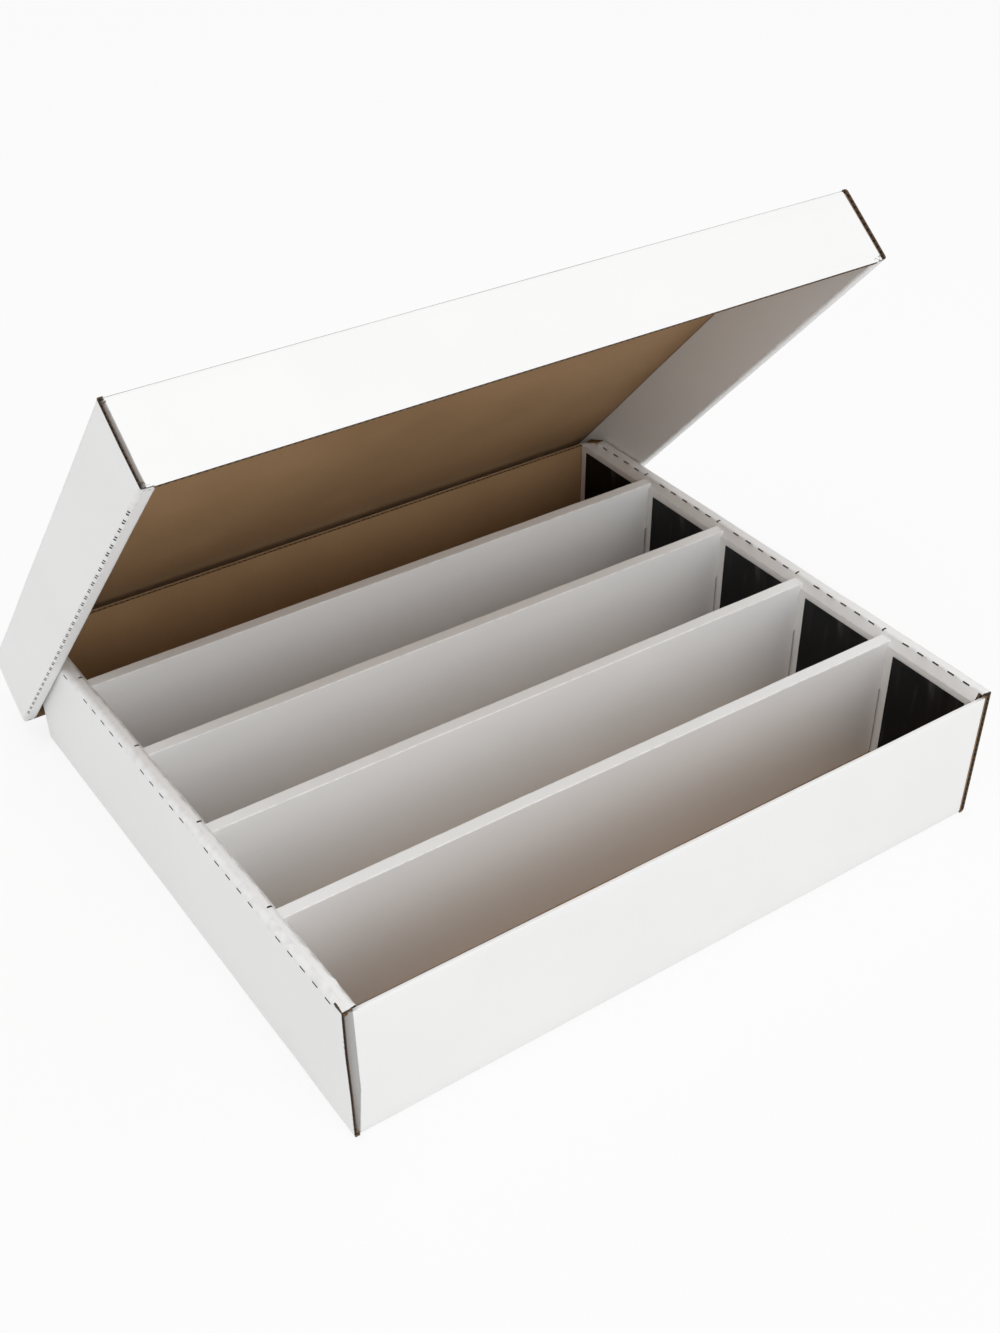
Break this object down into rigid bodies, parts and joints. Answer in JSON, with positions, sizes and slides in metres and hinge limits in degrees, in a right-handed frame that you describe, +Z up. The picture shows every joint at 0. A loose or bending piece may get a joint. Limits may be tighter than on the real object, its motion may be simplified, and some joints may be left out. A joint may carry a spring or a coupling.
{
  "type": "card storage box",
  "caption": "Folded corrugated card storage box: shallow tray divided into rows by lift-out walls, black row labels, and a deep lid leaning open.",
  "frame": {"origin": "middle of the tray's underside, on the surface it stands on", "axes": "+X towards the end wall with the row labels, +Y towards the back where the lid leans, +Z up"},
  "size_m": [0.505, 0.4805, 0.3733],
  "materials": {
    "white_board": "white clay-coated corrugated board, matte",
    "kraft_board": "brown kraft corrugated board, matte",
    "label_black": "glossy black printed card"
  },
  "bodies": {
    "tray": {"tray_floor": "kraft_board", "tray_front_wall": "white_board", "tray_back_wall": "white_board", "tray_corner_tab_front_left": "white_board", "tray_corner_tab_front_right": "white_board", "tray_corner_tab_back_left": "white_board", "tray_corner_tab_back_right": "white_board", "tray_left_outer_ply": "white_board", "tray_left_roll_band": "white_board", "tray_left_inner_ply": "white_board", "tray_right_outer_ply": "white_board", "tray_right_roll_band": "white_board", "tray_right_inner_ply": "white_board", "row_label_1": "label_black", "row_label_2": "label_black", "row_label_3": "label_black", "row_label_4": "label_black", "row_label_5": "label_black"},
    "lid": {"lid_top_panel": "kraft_board", "lid_front_wall": "white_board", "lid_back_wall": "white_board", "lid_corner_tab_front_left": "white_board", "lid_corner_tab_front_right": "white_board", "lid_corner_tab_back_left": "white_board", "lid_corner_tab_back_right": "white_board", "lid_left_outer_ply": "white_board", "lid_left_roll_band": "white_board", "lid_left_inner_ply": "white_board", "lid_right_outer_ply": "white_board", "lid_right_roll_band": "white_board", "lid_right_inner_ply": "white_board"},
    "divider_1": {"divider_1_front_leaf": "white_board", "divider_1_back_leaf": "white_board", "divider_1_top_fold": "white_board"},
    "divider_2": {"divider_2_front_leaf": "white_board", "divider_2_back_leaf": "white_board", "divider_2_top_fold": "white_board"},
    "divider_3": {"divider_3_front_leaf": "white_board", "divider_3_back_leaf": "white_board", "divider_3_top_fold": "white_board"},
    "divider_4": {"divider_4_front_leaf": "white_board", "divider_4_back_leaf": "white_board", "divider_4_top_fold": "white_board"}
  },
  "joints": [
    {"name": "lid_tilt", "type": "hinge", "parent": "tray", "child": "lid", "pos_m": [0, 0.17379, 0.0216], "axis": [-1, 0, 0], "range_deg": [-48.5, 0]},
    {"name": "divider_1_lift", "type": "slide", "parent": "tray", "child": "divider_1", "axis": [0, 0, 1], "range_m": [0, 0.06]},
    {"name": "divider_2_lift", "type": "slide", "parent": "tray", "child": "divider_2", "axis": [0, 0, 1], "range_m": [0, 0.06]},
    {"name": "divider_3_lift", "type": "slide", "parent": "tray", "child": "divider_3", "axis": [0, 0, 1], "range_m": [0, 0.06]},
    {"name": "divider_4_lift", "type": "slide", "parent": "tray", "child": "divider_4", "axis": [0, 0, 1], "range_m": [0, 0.06]}
  ]
}
